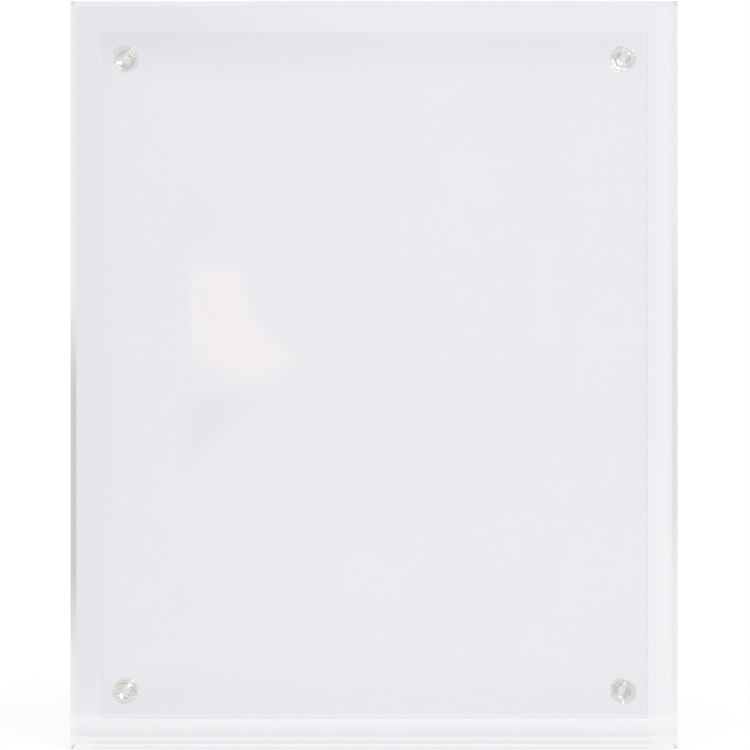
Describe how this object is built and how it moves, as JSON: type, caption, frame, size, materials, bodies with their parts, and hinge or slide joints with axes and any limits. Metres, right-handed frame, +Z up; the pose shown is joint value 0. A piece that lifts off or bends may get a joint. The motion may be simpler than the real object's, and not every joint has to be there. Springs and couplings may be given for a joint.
{
  "type": "clear acrylic document frame",
  "caption": "Clear bevelled panel with a smaller clear cover sheet clamped to its front by slotted screws, to show a document or photo held between the two sheets",
  "frame": {"origin": "the middle of the back panel's bottom edge face, which the frame stands on", "axes": "the front, with the cover and screw heads, faces -Y; +X is to the viewer's right; +Z is up"},
  "size_m": [0.268, 0.0238, 0.33],
  "materials": {
    "clear_panel": "clear cast acrylic sheet with polished faces and bevels",
    "clear_cover": "clear acrylic sheet with polished faces and flame-smooth edges",
    "clear_washer": "clear moulded plastic, glossy",
    "clear_screw": "clear moulded plastic with a faint warm tint, glossy"
  },
  "bodies": {
    "panel": {"back_panel": "clear_panel"},
    "cover": {"cover_sheet": "clear_cover"},
    "washer_top_left": {"washer_top_left": "clear_washer"},
    "screw_top_left": {"screw_top_left": "clear_screw"},
    "washer_top_right": {"washer_top_right": "clear_washer"},
    "screw_top_right": {"screw_top_right": "clear_screw"},
    "washer_bottom_left": {"washer_bottom_left": "clear_washer"},
    "screw_bottom_left": {"screw_bottom_left": "clear_screw"},
    "washer_bottom_right": {"washer_bottom_right": "clear_washer"},
    "screw_bottom_right": {"screw_bottom_right": "clear_screw"}
  },
  "joints": [
    {"name": "cover_lift", "type": "slide", "parent": "panel", "child": "cover", "axis": [0, -1, 0], "range_m": [0, 0.03]},
    {"name": "screw_draw_top_left", "type": "slide", "parent": "cover", "child": "washer_top_left", "axis": [0, -1, 0], "range_m": [0, 0.007]},
    {"name": "screw_turn_top_left", "type": "hinge", "parent": "washer_top_left", "child": "screw_top_left", "pos_m": [-0.109, -0.0124, 0.3035], "axis": [0, -1, 0], "range_deg": [0, 2520]},
    {"name": "screw_draw_top_right", "type": "slide", "parent": "cover", "child": "washer_top_right", "axis": [0, -1, 0], "range_m": [0, 0.007]},
    {"name": "screw_turn_top_right", "type": "hinge", "parent": "washer_top_right", "child": "screw_top_right", "pos_m": [0.109, -0.0124, 0.3035], "axis": [0, -1, 0], "range_deg": [0, 2520]},
    {"name": "screw_draw_bottom_left", "type": "slide", "parent": "cover", "child": "washer_bottom_left", "axis": [0, -1, 0], "range_m": [0, 0.007]},
    {"name": "screw_turn_bottom_left", "type": "hinge", "parent": "washer_bottom_left", "child": "screw_bottom_left", "pos_m": [-0.109, -0.0124, 0.0265], "axis": [0, -1, 0], "range_deg": [0, 2520]},
    {"name": "screw_draw_bottom_right", "type": "slide", "parent": "cover", "child": "washer_bottom_right", "axis": [0, -1, 0], "range_m": [0, 0.007]},
    {"name": "screw_turn_bottom_right", "type": "hinge", "parent": "washer_bottom_right", "child": "screw_bottom_right", "pos_m": [0.109, -0.0124, 0.0265], "axis": [0, -1, 0], "range_deg": [0, 2520]}
  ],
  "couplings": [
    {"joint": "screw_turn_top_left", "follows": "screw_draw_top_left", "rad_per_m": 6283.2},
    {"joint": "screw_turn_top_right", "follows": "screw_draw_top_right", "rad_per_m": 6283.2},
    {"joint": "screw_turn_bottom_left", "follows": "screw_draw_bottom_left", "rad_per_m": 6283.2},
    {"joint": "screw_turn_bottom_right", "follows": "screw_draw_bottom_right", "rad_per_m": 6283.2}
  ]
}
